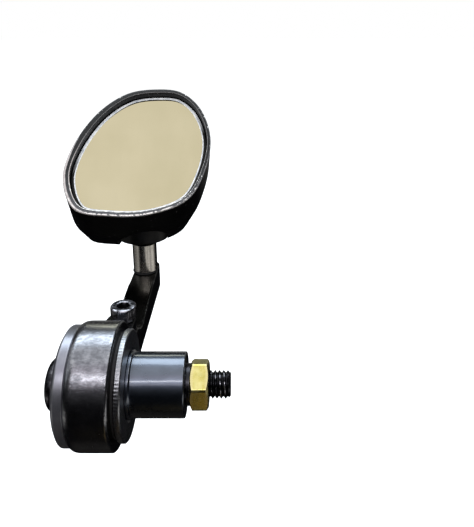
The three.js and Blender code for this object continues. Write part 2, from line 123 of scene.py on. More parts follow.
BOSS_R, POST_R, MOUTH_S, THROAT_S, RETAINER_S = 10.75, 9.6, -7.1, -4.5, 7.25
OUTLINE = [
    (7, 54.4), (17.6, 52.7), (25.5, 44), (29.3, 28), (26.2, 11.3), (18.2, -3), (3.5, -9),
    (-12, -8.9), (-24.4, -5.4), (-29.7, 9), (-26.3, 25.6), (-16.3, 43), (-4.5, 52.4),
]
SPAN_STEPS = 12
SKIM = 0.25  # keeps the housing's rim and wall inside the CAD box

# ---------- axes ----------
ALONG_X = Matrix(((0, 0, 1, 0), (1, 0, 0, 0), (0, 1, 0, 0), (0, 0, 0, 1)))
AT_STEM = Matrix.Translation((BALL.x, BALL.y, 0))
AT_BALL = Matrix.Translation(BALL)


def head_axes():
    """Across, up and outwards from the mirror's face, about the ball's centre."""
    normal = Vector((
        math.sin(HEAD_YAW) * math.cos(HEAD_PITCH),
        -math.cos(HEAD_YAW) * math.cos(HEAD_PITCH),
        math.sin(HEAD_PITCH)))
    across = Vector((0, 0, 1)).cross(normal).normalized()
    up = normal.cross(across)
    turn = Matrix((across, up, normal)).transposed().to_4x4()
    return AT_BALL @ turn


AT_HEAD = head_axes()


# ---------- mesh helpers ----------
def rounded(points, radius=0.2, steps=3):
    """A closed profile of (radius, height[, rounding]) points with its corners rounded.
    Gives (radius, height, edge), where edge is 1 on an outside corner and -1 on an inside one."""
    points = [tuple(p) if len(p) > 2 else (*p, radius) for p in points]
    area = sum(a[0] * b[1] - b[0] * a[1] for a, b in zip(points, points[1:] + points[:1]))
    made = []
    for i, (x, y, r) in enumerate(points):
        here = Vector((x, y))
        before = Vector(points[i - 1][:2]) - here
        after = Vector(points[(i + 1) % len(points)][:2]) - here
        if r <= 0 or before.length < 1e-6 or after.length < 1e-6:
            made.append((x, y, 0.0))
            continue
        turn = before.angle(after, math.pi)
        if turn > math.radians(176):
            made.append((x, y, 0.0))
            continue
        reach = min(r / math.tan(turn / 2), 0.45 * before.length, 0.45 * after.length)
        start = here + before.normalized() * reach
        end = here + after.normalized() * reach
        outside = (before.x * after.y - before.y * after.x) * area < 0
        for k in range(steps + 1):
            t = k / steps
            at = start * (1 - t) ** 2 + here * 2 * t * (1 - t) + end * t * t
            made.append((at.x, at.y, (1.0 if outside else -1.0) * (1 - (2 * t - 1) ** 2)))
    return made


def piece_from(name, vertices, faces, edge_marks):
    mesh = bpy.data.meshes.new(name)
    mesh.from_pydata([Vector(v) * MM for v in vertices], [], faces)
    marks = mesh.attributes.new("edge", "FLOAT", "POINT")
    marks.data.foreach_set("value", np.array(edge_marks, np.float32))
    shaped = bmesh.new()
    shaped.from_mesh(mesh)
    bmesh.ops.recalc_face_normals(shaped, faces=shaped.faces)
    shaped.to_mesh(mesh)
    shaped.free()
    piece = bpy.data.objects.new(name, mesh)
    bpy.context.scene.collection.objects.link(piece)
    smooth(piece)
    return piece


def smooth(piece, angle=40):
    mesh = piece.data
    mesh.polygons.foreach_set("use_smooth", [True] * len(mesh.polygons))
    mesh.set_sharp_from_angle(angle=math.radians(angle))


def skin(name, rings, marks, closed):
    """A mesh over rings of points. A ring of one point is a pole. closed joins last to first."""
    vertices, rows, edge_marks = [], [], []
    for ring, mark in zip(rings, marks):
        rows.append(range(len(vertices), len(vertices) + len(ring)))
        vertices.extend(ring)
        edge_marks.extend([mark] * len(ring))
    faces = []
    pairs = list(zip(rows, rows[1:]))
    if closed:
        pairs.append((rows[-1], rows[0]))
    for low, high in pairs:
        n = max(len(low), len(high))
        for i in range(n):
            j = (i + 1) % n
            if len(low) == 1:
                faces.append((low[0], high[i], high[j]))
            elif len(high) == 1:
                faces.append((low[i], low[j], high[0]))
            else:
                faces.append((low[i], low[j], high[j], high[i]))
    return piece_from(name, vertices, faces, edge_marks)


def spun(name, stations, place, steps=144, closed=False):
    """Rings about the local Z axis. A station is (radius, height, edge), and radius and height
    are numbers or functions of the angle. A radius of 0 is a pole."""
    rings, marks = [], []
    for radius, height, mark in stations:
        if not callable(radius) and radius <= 0:
            rings.append([place @ Vector((0, 0, height))])
        else:
            ring = []
            for i in range(steps):
                angle = TURN * i / steps
                r = radius(angle) if callable(radius) else radius
                h = height(angle) if callable(height) else height
                ring.append(place @ Vector((r * math.cos(angle), r * math.sin(angle), h)))
            rings.append(ring)
        marks.append(mark)
    return skin(name, rings, marks, closed)


def turned(name, profile, place, radius=0.2, steps=144):
    """A lathe piece with a bore, from a closed (radius, height) profile with rounded corners."""
    return spun(name, rounded(profile, radius), place, steps, closed=True)


def turned_solid(name, profile, place, radius=0.2, steps=144):
    """A lathe piece whose (radius, height) profile starts and ends on the axis."""
    path = rounded([(-5.0, profile[0][1], 0), *profile[1:-1], (-5.0, profile[-1][1], 0)], radius)
    stations = [(0, profile[0][1], 0.0), *path[1:-1], (0, profile[-1][1], 0.0)]
    return spun(name, stations, place, steps)


def prism(name, outline, low, high, place):
    """A straight-sided closed solid over a flat outline of (x, y) points."""
    n = len(outline)
    vertices = [place @ Vector((x, y, h)) for h in (low, high) for x, y in outline]
    faces = [tuple(range(n)), tuple(range(n, 2 * n))]
    faces += [(i, (i + 1) % n, n + (i + 1) % n, n + i) for i in range(n)]
    return piece_from(name, vertices, faces, [0.0] * len(vertices))


def apply_modifiers(piece):
    graph = bpy.context.evaluated_depsgraph_get()
    mesh = bpy.data.meshes.new_from_object(piece.evaluated_get(graph))
    piece.modifiers.clear()
    old = piece.data
    piece.data = mesh
    bpy.data.meshes.remove(old)


def combine(piece, tool, operation):
    """Joins or cuts piece with tool, which is used up."""
    step = piece.modifiers.new("combine", "BOOLEAN")
    step.operation = operation
    step.solver = "EXACT"
    step.object = tool
    apply_modifiers(piece)
    bpy.data.objects.remove(tool)


def cast(piece, grain, rounds):
    """Remeshes a piece in even small faces and rounds its edges as casting and tumbling do."""
    step = piece.modifiers.new("cast", "REMESH")
    step.mode = "VOXEL"
    step.voxel_size = grain * MM
    apply_modifiers(piece)
    mesh = piece.data
    at = np.zeros(len(mesh.vertices) * 3)
    mesh.vertices.foreach_get("co", at)
    at = at.reshape(-1, 3)
    pairs = np.zeros(len(mesh.edges) * 2, np.int32)
    mesh.edges.foreach_get("vertices", pairs)
    pairs = pairs.reshape(-1, 2)
    count = np.bincount(pairs.ravel(), minlength=len(at))[:, None].astype(float)

    def relax(points, times, strength):
        for _ in range(times):
            total = np.zeros_like(points)
            np.add.at(total, pairs[:, 0], points[pairs[:, 1]])
            np.add.at(total, pairs[:, 1], points[pairs[:, 0]])
            points = points + strength * (total / count - points)
        return points

    for _ in range(rounds):
        at = relax(at, 1, 0.55)
        at = relax(at, 1, -0.5)
    mesh.vertices.foreach_set("co", at.ravel())
    mesh.update()
    normals = np.zeros(len(at) * 3, np.float32)
    mesh.vertices.foreach_get("normal", normals)
    raised = ((at - relax(at, 14, 0.6)) * normals.reshape(-1, 3)).sum(1) / (0.25 * grain * MM)
    marks = mesh.attributes.get("edge") or mesh.attributes.new("edge", "FLOAT", "POINT")
    marks.data.foreach_set("value", np.clip(raised, -1, 1).astype(np.float32))
    mesh.polygons.foreach_set("use_smooth", [True] * len(mesh.polygons))


def even_normals(piece):
    step = piece.modifiers.new("even_normals", "WEIGHTED_NORMAL")
    step.keep_sharp = True


def hexagonal(across_flats, turn=0.0, ease=0.0):
    """Radius of a hexagon at an angle, with its corners eased off."""
    def radius(angle):
        off = (angle - turn) % (math.pi / 3) - math.pi / 6
        corner = across_flats / math.sqrt(3) - ease
        return min(across_flats / 2 / math.cos(off), corner)
    return radius


def finish_piece(piece, body, nodes, material):
    even_normals(piece)
    piece.data.materials.clear()
    piece.data.materials.append(material)
    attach(piece, body)
    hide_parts(*nodes)
    return piece


# ---------- material helpers ----------
class Nodes:
    """A node tree, and the few kinds of node that it is built from."""

    def __init__(self, tree, coordinate):
        self.tree = tree
        self.place = tree.nodes.new("ShaderNodeTexCoord").outputs[coordinate]

    def node(self, kind, inputs=(), **settings):
        made = self.tree.nodes.new(kind)
        for setting, value in settings.items():
            setattr(made, setting, value)
        for socket, value in dict(inputs).items():
            self.put(made.inputs[socket], value)
        return made

    def put(self, socket, value):
        if isinstance(value, bpy.types.NodeSocket):
            self.tree.links.new(value, socket)
        elif isinstance(value, tuple) and len(value) == 3 and socket.type == "RGBA":
            socket.default_value = (*value, 1)
        else:
            socket.default_value = value

    def noise(self, scale, detail=3.0, roughness=0.55, vector=None, distortion=0.0):
        inputs = {"Vector": vector or self.place, "Scale": scale, "Detail": detail,
                  "Roughness": roughness, "Distortion": distortion}
        return self.node("ShaderNodeTexNoise", inputs).outputs["Fac"]

    def specks(self, scale, size):
        """Small round spots, 1 inside and 0 outside, one in some cells of a grid."""
        cells = self.node("ShaderNodeTexVoronoi", {"Vector": self.place, "Scale": scale})
        near = self.band(cells.outputs["Distance"], size, size * 0.4)
        chosen = self.node("ShaderNodeSeparateColor", {"Color": cells.outputs["Color"]})
        return self.times(near, self.band(chosen.outputs["Red"], 0.6, 0.7))

    def band(self, value, low, high, to_low=0.0, to_high=1.0):
        inputs = {"Value": value, "From Min": low, "From Max": high,
                  "To Min": to_low, "To Max": to_high}
        return self.node("ShaderNodeMapRange", inputs, clamp=True).outputs["Result"]

    def calc(self, operation, a, b=0.0):
        made = self.node("ShaderNodeMath", operation=operation)
        self.put(made.inputs[0], a)
        self.put(made.inputs[1], b)
        return made.outputs[0]

    def times(self, a, b):
        return self.calc("MULTIPLY", a, b)

    def plus(self, a, b):
        return self.calc("ADD", a, b)

    def mix(self, factor, a, b):
        made = self.node("ShaderNodeMix", data_type="RGBA")
        self.put(made.inputs[0], factor)
        self.put(made.inputs[6], a)
        self.put(made.inputs[7], b)
        return made.outputs[2]

    def stretched(self, x, y, z):
        inputs = {"Vector": self.place, "Scale": (x, y, z)}
        return self.node("ShaderNodeMapping", inputs).outputs["Vector"]


class Shader(Nodes):
    """A Principled material, built node by node in the piece's own metres."""

    def __init__(self, name, **sockets):
        self.material = bpy.data.materials.new(name)
        self.material.use_nodes = True
        super().__init__(self.material.node_tree, "Object")
        self.bsdf = self.tree.nodes["Principled BSDF"]
        for socket, value in sockets.items():
            self.bsdf.inputs[socket.replace("_", " ")].default_value = value

    def from_ball(self):
        """Distances across, up and outwards from the mirror's face, about the ball's centre."""
        moved = self.node("ShaderNodeVectorMath", {1: tuple(-c * MM for c in BALL)},
                          operation="ADD")
        self.put(moved.inputs[0], self.place)
        distances = []
        for row in AT_HEAD.inverted().to_3x3():
            dot = self.node("ShaderNodeVectorMath", {1: tuple(row)}, operation="DOT_PRODUCT")
            self.put(dot.inputs[0], moved.outputs[0])
            distances.append(dot.outputs["Value"])
        return distances

    def round_axis(self, axis, centre, along, across):
        """(height along an axis, distance from it), for marks that a lathe leaves."""
        moved = self.node("ShaderNodeVectorMath", {1: tuple(-c for c in centre)}, operation="ADD")
        self.put(moved.inputs[0], self.place)
        parts = self.node("ShaderNodeSeparateXYZ", {"Vector": moved.outputs[0]})
        others = [n for n in "XYZ" if n != axis]
        squares = [self.calc("POWER", parts.outputs[n], 2.0) for n in others]
        distance = self.calc("SQRT", self.plus(*squares))
        lines = {"X": self.times(parts.outputs[axis], along),
                 "Y": self.times(distance, across)}
        return self.node("ShaderNodeCombineXYZ", lines).outputs[0]

    def edge(self, sign=1.0):
        """How far a point lies on an outside corner, or on an inside one with sign -1."""
        mark = self.node("ShaderNodeAttribute", attribute_name="edge").outputs["Fac"]
        return self.band(self.times(mark, sign), 0.0, 1.0)

    def bump(self, height, distance, strength=1.0, below=None):
        inputs = {"Height": height, "Distance": distance, "Strength": strength}
        made = self.node("ShaderNodeBump", inputs)
        if below is not None:
            self.put(made.inputs["Normal"], below)
        return made.outputs["Normal"]

    def set(self, **sockets):
        for socket, value in sockets.items():
            self.put(self.bsdf.inputs[socket.replace("_", " ")], value)
        return self.material


def turned_metal(name, colour, second, roughness, spread, axis, centre, pitch=5000,
                 bump_mm=0.006, worn=(0.75, 0.75, 0.74), wear=0.1):
    """Bare metal with the fine rings that a lathe leaves, round an axis in metres."""
    s = Shader(name)
    rings = s.noise(1.0, 3.0, 0.6, s.round_axis(axis, centre, pitch, pitch))
    broad = s.noise(220, 4.0, 0.6)
    fine = s.noise(2600, 2.0, 0.5)
    shade = s.mix(s.band(s.plus(rings, broad), 0.75, 1.25), colour, second)
    rubbed = s.times(s.edge(), s.band(s.noise(600, 3.0), 0.6 - wear, 0.7 - wear))
    shade = s.mix(rubbed, shade, worn)
    # Inside corners and thread roots are darkened to a fifth of the colour: painted shade in the
    # creases.
    shade = s.mix(s.times(s.edge(-1.0), 0.7), shade, tuple(c * 0.2 for c in colour))
    rough = s.band(s.plus(rings, fine), 0.7, 1.3, roughness - spread, roughness + spread)
    relief = s.bump(s.plus(rings, s.times(fine, 0.3)), bump_mm * MM, 0.7)
    return s.set(Base_Color=shade, Roughness=rough, Metallic=1.0, Normal=relief)


def casting_black():
    """Black finish burnished unevenly over a casting."""
    s = Shader("casting_black", Metallic=1.0)
    parts = s.node("ShaderNodeSeparateXYZ", {"Vector": s.place}).outputs
    bar = s.band(parts["Y"], 15 * MM, 24 * MM)
    cloud = s.noise(820, 6.0, 0.7, s.stretched(0.5, 1, 1))
    patches = s.noise(260, 4.0, 0.6, distortion=0.8)
    fine = s.noise(2600, 4.0, 0.6)
    shade = s.plus(s.times(cloud, 0.6), s.times(patches, 0.4))
    colour = s.mix(s.band(shade, 0.36, 0.64), (0.11, 0.115, 0.13), (0.36, 0.368, 0.4))
    smooth_dark = s.mix(s.band(shade, 0.36, 0.66), (0.06, 0.06, 0.054), (0.1, 0.098, 0.088))
    colour = s.mix(bar, colour, smooth_dark)
    # The inboard face of the ring and bar is painted near black: painted shade on the side turned away
    # from the lights.
    inboard_painted_shade = s.band(parts["X"], (RING_IN - 0.12) * MM, (RING_IN - 0.02) * MM)
    colour = s.mix(s.times(inboard_painted_shade, 0.85), colour, (0.008, 0.008, 0.009))
    # Inside corners are darkened near black: painted shade in the creases.
    colour = s.mix(s.times(s.edge(-1.0), 0.8), colour, (0.006, 0.006, 0.007))
    rubbed = s.times(s.edge(), s.band(s.noise(420, 4.0, 0.7), 0.52, 0.64))
    colour = s.mix(s.times(rubbed, 0.6), colour, (0.6, 0.6, 0.61))
    specks = s.times(s.specks(900, 0.14), s.band(s.noise(130), 0.55, 0.68))
    colour = s.mix(specks, colour, (0.75, 0.76, 0.78))
    rough = s.band(s.plus(cloud, s.times(fine, 0.5)), 0.5, 1.05, 0.28, 0.17)
    relief = s.bump(cloud, 0.07 * MM, s.band(bar, 0.0, 1.0, 0.5, 0.15))
    relief = s.bump(fine, 0.02 * MM, 0.6, relief)
    return s.set(Base_Color=colour, Roughness=rough, Normal=relief)


def cap_grey():
    """Grey satin anodising."""
    s = Shader("cap_grey", Metallic=0.9)
    cloud = s.noise(160, 4.0, 0.6)
    fine = s.noise(5200, 2.0, 0.6)
    colour = s.mix(s.band(cloud, 0.35, 0.7), (0.25, 0.256, 0.295), (0.34, 0.347, 0.39))
    # Inside corners are darkened near black: painted shade in the creases.
    colour = s.mix(s.times(s.edge(-1.0), 0.8), colour, (0.02, 0.02, 0.022))
    rubbed = s.times(s.edge(), s.band(s.noise(500, 4.0, 0.7), 0.44, 0.62, 0.25, 1.0))
    colour = s.mix(s.times(rubbed, 0.7), colour, (0.62, 0.63, 0.66))
    rough = s.band(s.plus(cloud, fine), 0.7, 1.3, 0.27, 0.36)
    relief = s.bump(fine, 0.008 * MM, 0.7)
    return s.set(Base_Color=colour, Roughness=rough, Normal=relief)


def disc_grey():
    return turned_metal("disc_grey", (0.26, 0.27, 0.29), (0.42, 0.435, 0.46), 0.32, 0.08, "X",
                        (0, 0, 0), pitch=4200, worn=(0.8, 0.82, 0.85), wear=0.08)


def sleeve_black():
    """Dark sleeve with a bluish bloom. Metallic with a coat, for its sheen, though it is rubber."""
    s = Shader("sleeve_black", Metallic=1.0, Coat_Weight=0.9, Coat_Roughness=0.09,
               Coat_IOR=1.7)
    rings = s.noise(1.0, 2.0, 0.5, s.round_axis("X", (0, 0, 0), 2600, 300))
    fine = s.noise(4200, 3.0, 0.6)
    bloom = s.noise(130, 4.0, 0.6, s.stretched(0.5, 1, 1))
    colour = s.mix(s.band(bloom, 0.35, 0.75), (0.062, 0.078, 0.108), (0.125, 0.15, 0.198))
    lifted = s.times(s.edge(), s.band(s.noise(500), 0.45, 0.6))
    colour = s.mix(s.times(lifted, 0.6), colour, (0.4, 0.42, 0.46))
    scuffs = s.band(s.noise(900, 2.0, 0.5, s.stretched(1, 0.08, 0.08)), 0.66, 0.7)
    rough = s.band(s.plus(bloom, s.times(scuffs, 0.4)), 0.3, 1.0, 0.25, 0.36)
    wavy = s.noise(70, 2.0, 0.5)
    relief = s.bump(wavy, 0.5 * MM, 0.55)
    relief = s.bump(s.plus(s.times(rings, 0.6), fine), 0.006 * MM, 0.7, relief)
    return s.set(Base_Color=colour, Roughness=rough, Normal=relief, Coat_Normal=relief)


def steel_black(name="steel_black", axis="X", centre=(0, 0, 0), wear=0.12):
    return turned_metal(name, (0.025, 0.026, 0.03), (0.07, 0.07, 0.078), 0.28, 0.07, axis, centre,
                        pitch=3000, worn=(0.6, 0.6, 0.66), wear=wear)


def zinc_yellow():
    s = Shader("zinc_yellow", Metallic=1.0)
    cloud = s.noise(330, 4.0, 0.6)
    hue = s.noise(150, 3.0, 0.6, distortion=0.6)
    fine = s.noise(3600, 3.0, 0.6)
    colour = s.mix(s.band(cloud, 0.35, 0.7), (0.58, 0.5, 0.12), (0.76, 0.7, 0.3))
    colour = s.mix(s.band(hue, 0.5, 0.8, 0.0, 0.5), colour, (0.5, 0.5, 0.2))
    colour = s.mix(s.times(s.edge(), 0.5), colour, (0.95, 0.86, 0.58))
    rough = s.band(s.plus(cloud, fine), 0.7, 1.3, 0.2, 0.38)
    relief = s.bump(cloud, 0.03 * MM, 0.5)
    relief = s.bump(fine, 0.01 * MM, 0.7, relief)
    return s.set(Base_Color=colour, Roughness=rough, Normal=relief)


def stem_steel():
    centre = (BALL.x * MM, BALL.y * MM, 0)
    return turned_metal("stem_steel", (0.46, 0.44, 0.41), (0.66, 0.64, 0.6), 0.24, 0.06, "Z",
                        centre, pitch=3400, bump_mm=0.012)


def stainless():
    centre = (BALL.x * MM, BALL.y * MM, 0)
    return turned_metal("stainless", (0.5, 0.49, 0.47), (0.68, 0.67, 0.64), 0.28, 0.07, "Z",
                        centre)


def moulded(name, cloud_scale, grain_scale, colours, roughness, grain_mm, **sockets):
    """A plain moulded plastic with a fine grain."""
    s = Shader(name, **sockets)
    cloud = s.noise(cloud_scale, 3.0)
    fine = s.noise(grain_scale, 3.0)
    colour = s.mix(cloud, *colours)
    rough = s.band(fine, 0.3, 0.7, *roughness)
    return s.set(Base_Color=colour, Roughness=rough, Normal=s.bump(fine, grain_mm * MM))


def nylon():
    return moulded("nylon", 400, 3000, ((0.66, 0.63, 0.55), (0.78, 0.75, 0.68)), (0.45, 0.6), 0.01,
                   Subsurface_Weight=0.1, Specular_IOR_Level=0.5)


def black_plastic():
    return moulded("black_plastic", 300, 2800, ((0.007, 0.007, 0.008), (0.016, 0.016, 0.017)),
                   (0.5, 0.68), 0.012, Specular_IOR_Level=0.45)


def housing_black():
    """Black paint on the casting. The face of the rim is painted from near black at the top to grey at
    its lower side, a painted sheen.
    Its edge is worn light, with the worn band wider on the left and lower sides and lighter on the left
    as a painted highlight; chips show at its lower edge and along its outer side."""
    s = Shader("housing_black", Specular_IOR_Level=0.25)
    across, up, out = s.from_ball()
    broad = s.noise(170, 4.0, 0.6)
    fine = s.noise(3000, 3.0, 0.6)
    face = s.band(out, (RIM_N - 0.75) * MM, (RIM_N - 0.25) * MM)
    low_side = s.band(up, 14 * MM, -7 * MM)
    left_side = s.times(s.band(across, -14 * MM, -26 * MM), s.band(up, 32 * MM, 18 * MM))
    brushed = s.noise(900, 4.0, 0.7)
    edge = s.times(s.edge(), s.band(out, (RIM_N - 1.4) * MM, (RIM_N - 0.8) * MM))
    # The worn band along the rim's edge is real wear; it is made wider on the left and lower sides as a
    # painted highlight.
    amount = s.plus(edge, s.times(brushed, 0.4))
    amount = s.plus(amount, s.times(left_side, 0.55))
    amount = s.plus(amount, s.band(low_side, 0.0, 1.0, 0.06, 0.16))
    worn = s.times(s.band(amount, 0.98, 1.12), s.band(edge, 0.02, 0.12))
    marked = s.plus(brushed, s.times(low_side, 0.17))
    chips = s.times(s.band(marked, 0.62, 0.67), s.band(edge, 0.3, 0.6))
    # The rim face goes from near black at the top to grey at its lower side: a painted sheen, not a
    # change of paint.
    satin = s.mix(low_side, (0.006, 0.006, 0.006), (0.09, 0.092, 0.1))
    satin = s.mix(s.band(s.noise(700, 5.0, 0.7), 0.3, 0.75, 0.6, 0.0), satin, (0.004, 0.004, 0.004))
    # The worn edge is lighter and pinkish on the left side: partly wear, partly a painted highlight.
    rubbed_and_lit_colour = s.mix(left_side, (0.3, 0.3, 0.31), (0.5, 0.46, 0.45))
    paint = s.mix(s.band(broad, 0.35, 0.7), (0.001, 0.001, 0.0012), (0.003, 0.003, 0.0035))
    dust = s.times(s.specks(520, 0.13), s.band(s.noise(45), 0.42, 0.56))
    paint = s.mix(s.times(dust, 0.8), paint, (0.5, 0.5, 0.48))
    colour = s.mix(face, paint, satin)
    colour = s.mix(s.times(worn, 0.8), colour, rubbed_and_lit_colour)
    colour = s.mix(chips, colour, (0.85, 0.83, 0.8))
    shine = s.calc("MAXIMUM", s.times(worn, 0.4), chips)
    rough = s.band(s.plus(broad, s.times(brushed, 0.6)), 0.5, 1.1, 0.26, 0.46)
    relief = s.bump(broad, 0.05 * MM, 0.4)
    relief = s.bump(s.plus(fine, s.times(chips, -0.8)), 0.02 * MM, 0.8, relief)
    return s.set(Base_Color=colour, Roughness=rough, Metallic=shine, Normal=relief)


def mirror_silver():
    """Silvering tinted beige as a painted reflection of beige surroundings, with a thin frosted line
    along the bevel that widens towards the top as a painted highlight, and the glass's edge below that
    line painted near black as painted shade.
    """
    s = Shader("mirror_silver")
    beige_mottle = s.noise(28, 3.0, 0.5)
    streaks = s.noise(60, 3.0, 0.5, s.stretched(1.0, 0.25, 0.25))
    # The beige tint, its mottling and its darker streaks are a painted reflection of beige
    # surroundings; clean silvering is neutral.
    colour = s.mix(s.band(beige_mottle, 0.3, 0.7), (0.52, 0.458, 0.292), (0.58, 0.514, 0.343))
    colour = s.mix(s.band(streaks, 0.5, 0.8, 0.0, 0.35), colour, (0.46, 0.415, 0.26))
    across, up = s.from_ball()[:2]
    # Towards the top and upper left the frosted line widens over the whole bevel: a painted highlight
    # where the bevel catches the overhead light.
    upper_glint_zone = s.band(s.calc("SUBTRACT", up, s.times(across, 0.35)), 22 * MM, 34 * MM)
    bevel = s.edge()
    thin = s.band(bevel, 0.7, 0.8)
    ground = s.calc("MAXIMUM", thin, s.times(upper_glint_zone, s.band(bevel, 0.2, 0.35)))
    # The glass's edge and the bevel below the frosted line are painted near black: painted shade
    # standing in for the shaded inner wall beside them.
    bevel_shade_band = s.band(bevel, 0.05, 0.2)
    frosted = s.mix(s.band(s.noise(420, 3.0, 0.6), 0.35, 0.65), (0.5, 0.54, 0.58), (0.9, 0.92, 0.93))
    colour = s.mix(bevel_shade_band, colour, (0.02, 0.02, 0.019))
    colour = s.mix(ground, colour, frosted)
    smears = s.band(s.noise(300, 5.0, 0.7), 0.4, 0.8, 0.02, 0.07)
    smears = s.plus(smears, s.times(ground, 0.3))
    silver = s.band(s.calc("MAXIMUM", ground, bevel_shade_band), 0.0, 1.0, 1.0, 0.1)
    grain = s.bump(s.noise(2400, 2.0), 0.01 * MM, s.times(ground, 0.8))
    return s.set(Base_Color=colour, Roughness=smears, Metallic=silver, Normal=grain)


# ---------- pieces on the handlebar's axis ----------
def flange_disc(look):
    low, high, radius = DISC_LOW.x, DISC_HIGH.x, DISC_HIGH.z
    teeth, tooth_depth = 100, 0.13
    seat_r, seat_x = 10.3, -0.4
    stations = rounded([
        (BOLT_R + 0.12, low), (radius - 0.35, low), (radius, low + 0.35), (radius, high - 0.3),
        (radius - 0.3, high), (seat_r, high), (seat_r, seat_x), (BOLT_R + 0.12, seat_x)], 0.12)

    def toothed(r):
        return lambda angle: r - tooth_depth * (0.5 + 0.5 * math.cos(teeth * angle)) ** 2

    made = [(toothed(r) if r > radius - 0.45 and h < low + 0.9 else r, h, e)
            for r, h, e in stations]
    piece = spun("flange_disc_turned", made, ALONG_X, steps=teeth * 4, closed=True)
    return finish_piece(piece, "hub", ["flange_disc"], look)


def end_cap(look):
    face, back, radius = CAP_LOW.x, CAP_HIGH.x, CAP_HIGH.z
    wall = RING_OUT - 3.05
    pocket = BOLT_HEAD_X + 1.7
    seat = RING_OUT - 0.85
    profile = [
        (15.7, back, 0.1), (radius - 0.3, back, 0.1), (radius, back - 0.3, 0.15),
        (radius, wall + 0.2, 0.8), (radius - 1.6, wall - 0.72, 1.0), (9.9, face + 0.5, 0.5),
        (9.2, face, 0.4), (8.5, face, 0.15), (8.5, pocket, 0.1), (BOLT_R + 0.35, pocket, 0.1),
        (BOLT_R + 0.35, seat, 0.1), (15.7, seat, 0.1)]
    piece = spun("end_cap_turned", rounded(profile, steps=4), ALONG_X, steps=192, closed=True)
    return finish_piece(piece, "hub", ["end_cap"], look)


def end_bolt(look):
    """Button head with a hexagon socket, plain shank and a true helical thread."""
    face = BOLT_LOW.x
    tip = BOLT_HIGH.x
    key = hexagonal(5.0, ease=0.08)
    row_steps = 14
    stations = [(0, face + 3.4, 0.0), (lambda a: key(a) * 0.96, face + 3.0, -0.5),
                (key, face + 2.8, 0.0), (key, face + 0.35, 0.3),
                (lambda a: max(key(a), 2.72), face + 0.12, 0.6), (3.1, face, 0.3)]
    for i in range(11):
        turn = math.radians(9 * i)
        radius = BOLT_HEAD_R - BOLT_HEAD_EDGE * (1 - math.sin(turn))
        stations.append((radius, face + BOLT_HEAD_EDGE * (1 - math.cos(turn)), 0.25))
    stations += [(BOLT_HEAD_R, BOLT_HEAD_X - 0.3, 0.4), (BOLT_HEAD_R - 0.12, BOLT_HEAD_X, 0.8),
                 (BOLT_R + 0.3, BOLT_HEAD_X, -0.4), (BOLT_R, BOLT_HEAD_X + 0.3, -0.2),
                 (BOLT_R, THREAD_X - 0.6, 0.0)]
    rows = round((tip - THREAD_X) / (BOLT_PITCH / row_steps))
    for i in range(rows + 1):
        x = THREAD_X + (tip - THREAD_X) * i / rows
        run_in = min(1.0, i / row_steps)
        stations.append((thread_radius(x, run_in, tip), x, 0.0))
    stations.append((0, tip, 0.0))
    piece = spun("end_bolt_threaded", stations, ALONG_X, steps=96)
    mark_crests(piece)
    return finish_piece(piece, "bolt", ["end_bolt"], look)


def thread_radius(x, run_in, tip):
    chamfer = max(0.0, x - (tip - 1.0)) * 0.75

    def radius(angle):
        phase = (x / BOLT_PITCH - angle / TURN) % 1.0
        fall = min(max((abs(phase - 0.5) * 2 - 0.1) / 0.72, 0.0), 1.0)
        return min(BOLT_R - THREAD_DEPTH * fall * run_in, BOLT_R - chamfer)
    return radius


def mark_crests(piece):
    """Marks the thread's crests as outside corners and its roots as inside ones."""
    values = np.zeros(len(piece.data.vertices), np.float32)
    marks = piece.data.attributes["edge"]
    marks.data.foreach_get("value", values)
    for i, vertex in enumerate(piece.data.vertices):
        x = vertex.co.x / MM
        if THREAD_X < x < BOLT_HIGH.x - 1:
            rise = (math.hypot(vertex.co.y, vertex.co.z) / MM - BOLT_R) / THREAD_DEPTH + 0.5
            values[i] = max(-1.0, min(1.0, 2 * rise))
    marks.data.foreach_set("value", values)


def expander_sleeve(look):
    start, end = SLEEVE_LOW.x, SLEEVE_HIGH.x
    lip, body = SLEEVE_HIGH.z, SLEEVE_HIGH.z - 0.5
    bore = 4.3
    profile = [(bore, start, 0.1), (lip, start, 0.15), (lip, 0.8, 0.25), (body, 1.25, 0.3),
               (body, end - 0.25, 0.15), (body - 0.25, end, 0.15), (bore, end, 0.3)]
    piece = spun("expander_sleeve_rubber", rounded(profile, steps=4), ALONG_X, 160, closed=True)
    finish_piece(piece, "hub", ["expander_sleeve"], look)
    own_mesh(piece)
    return piece


def thrust_washer(look):
    low, high, radius = WASHER_LOW.x, WASHER_HIGH.x, WASHER_HIGH.z
    profile = [(BOLT_R + 0.12, low), (radius, low), (radius, high), (BOLT_R + 0.12, high)]
    piece = turned("thrust_washer_turned", profile, ALONG_X, 0.15, 96)
    return finish_piece(piece, "nut", ["thrust_washer"], look)


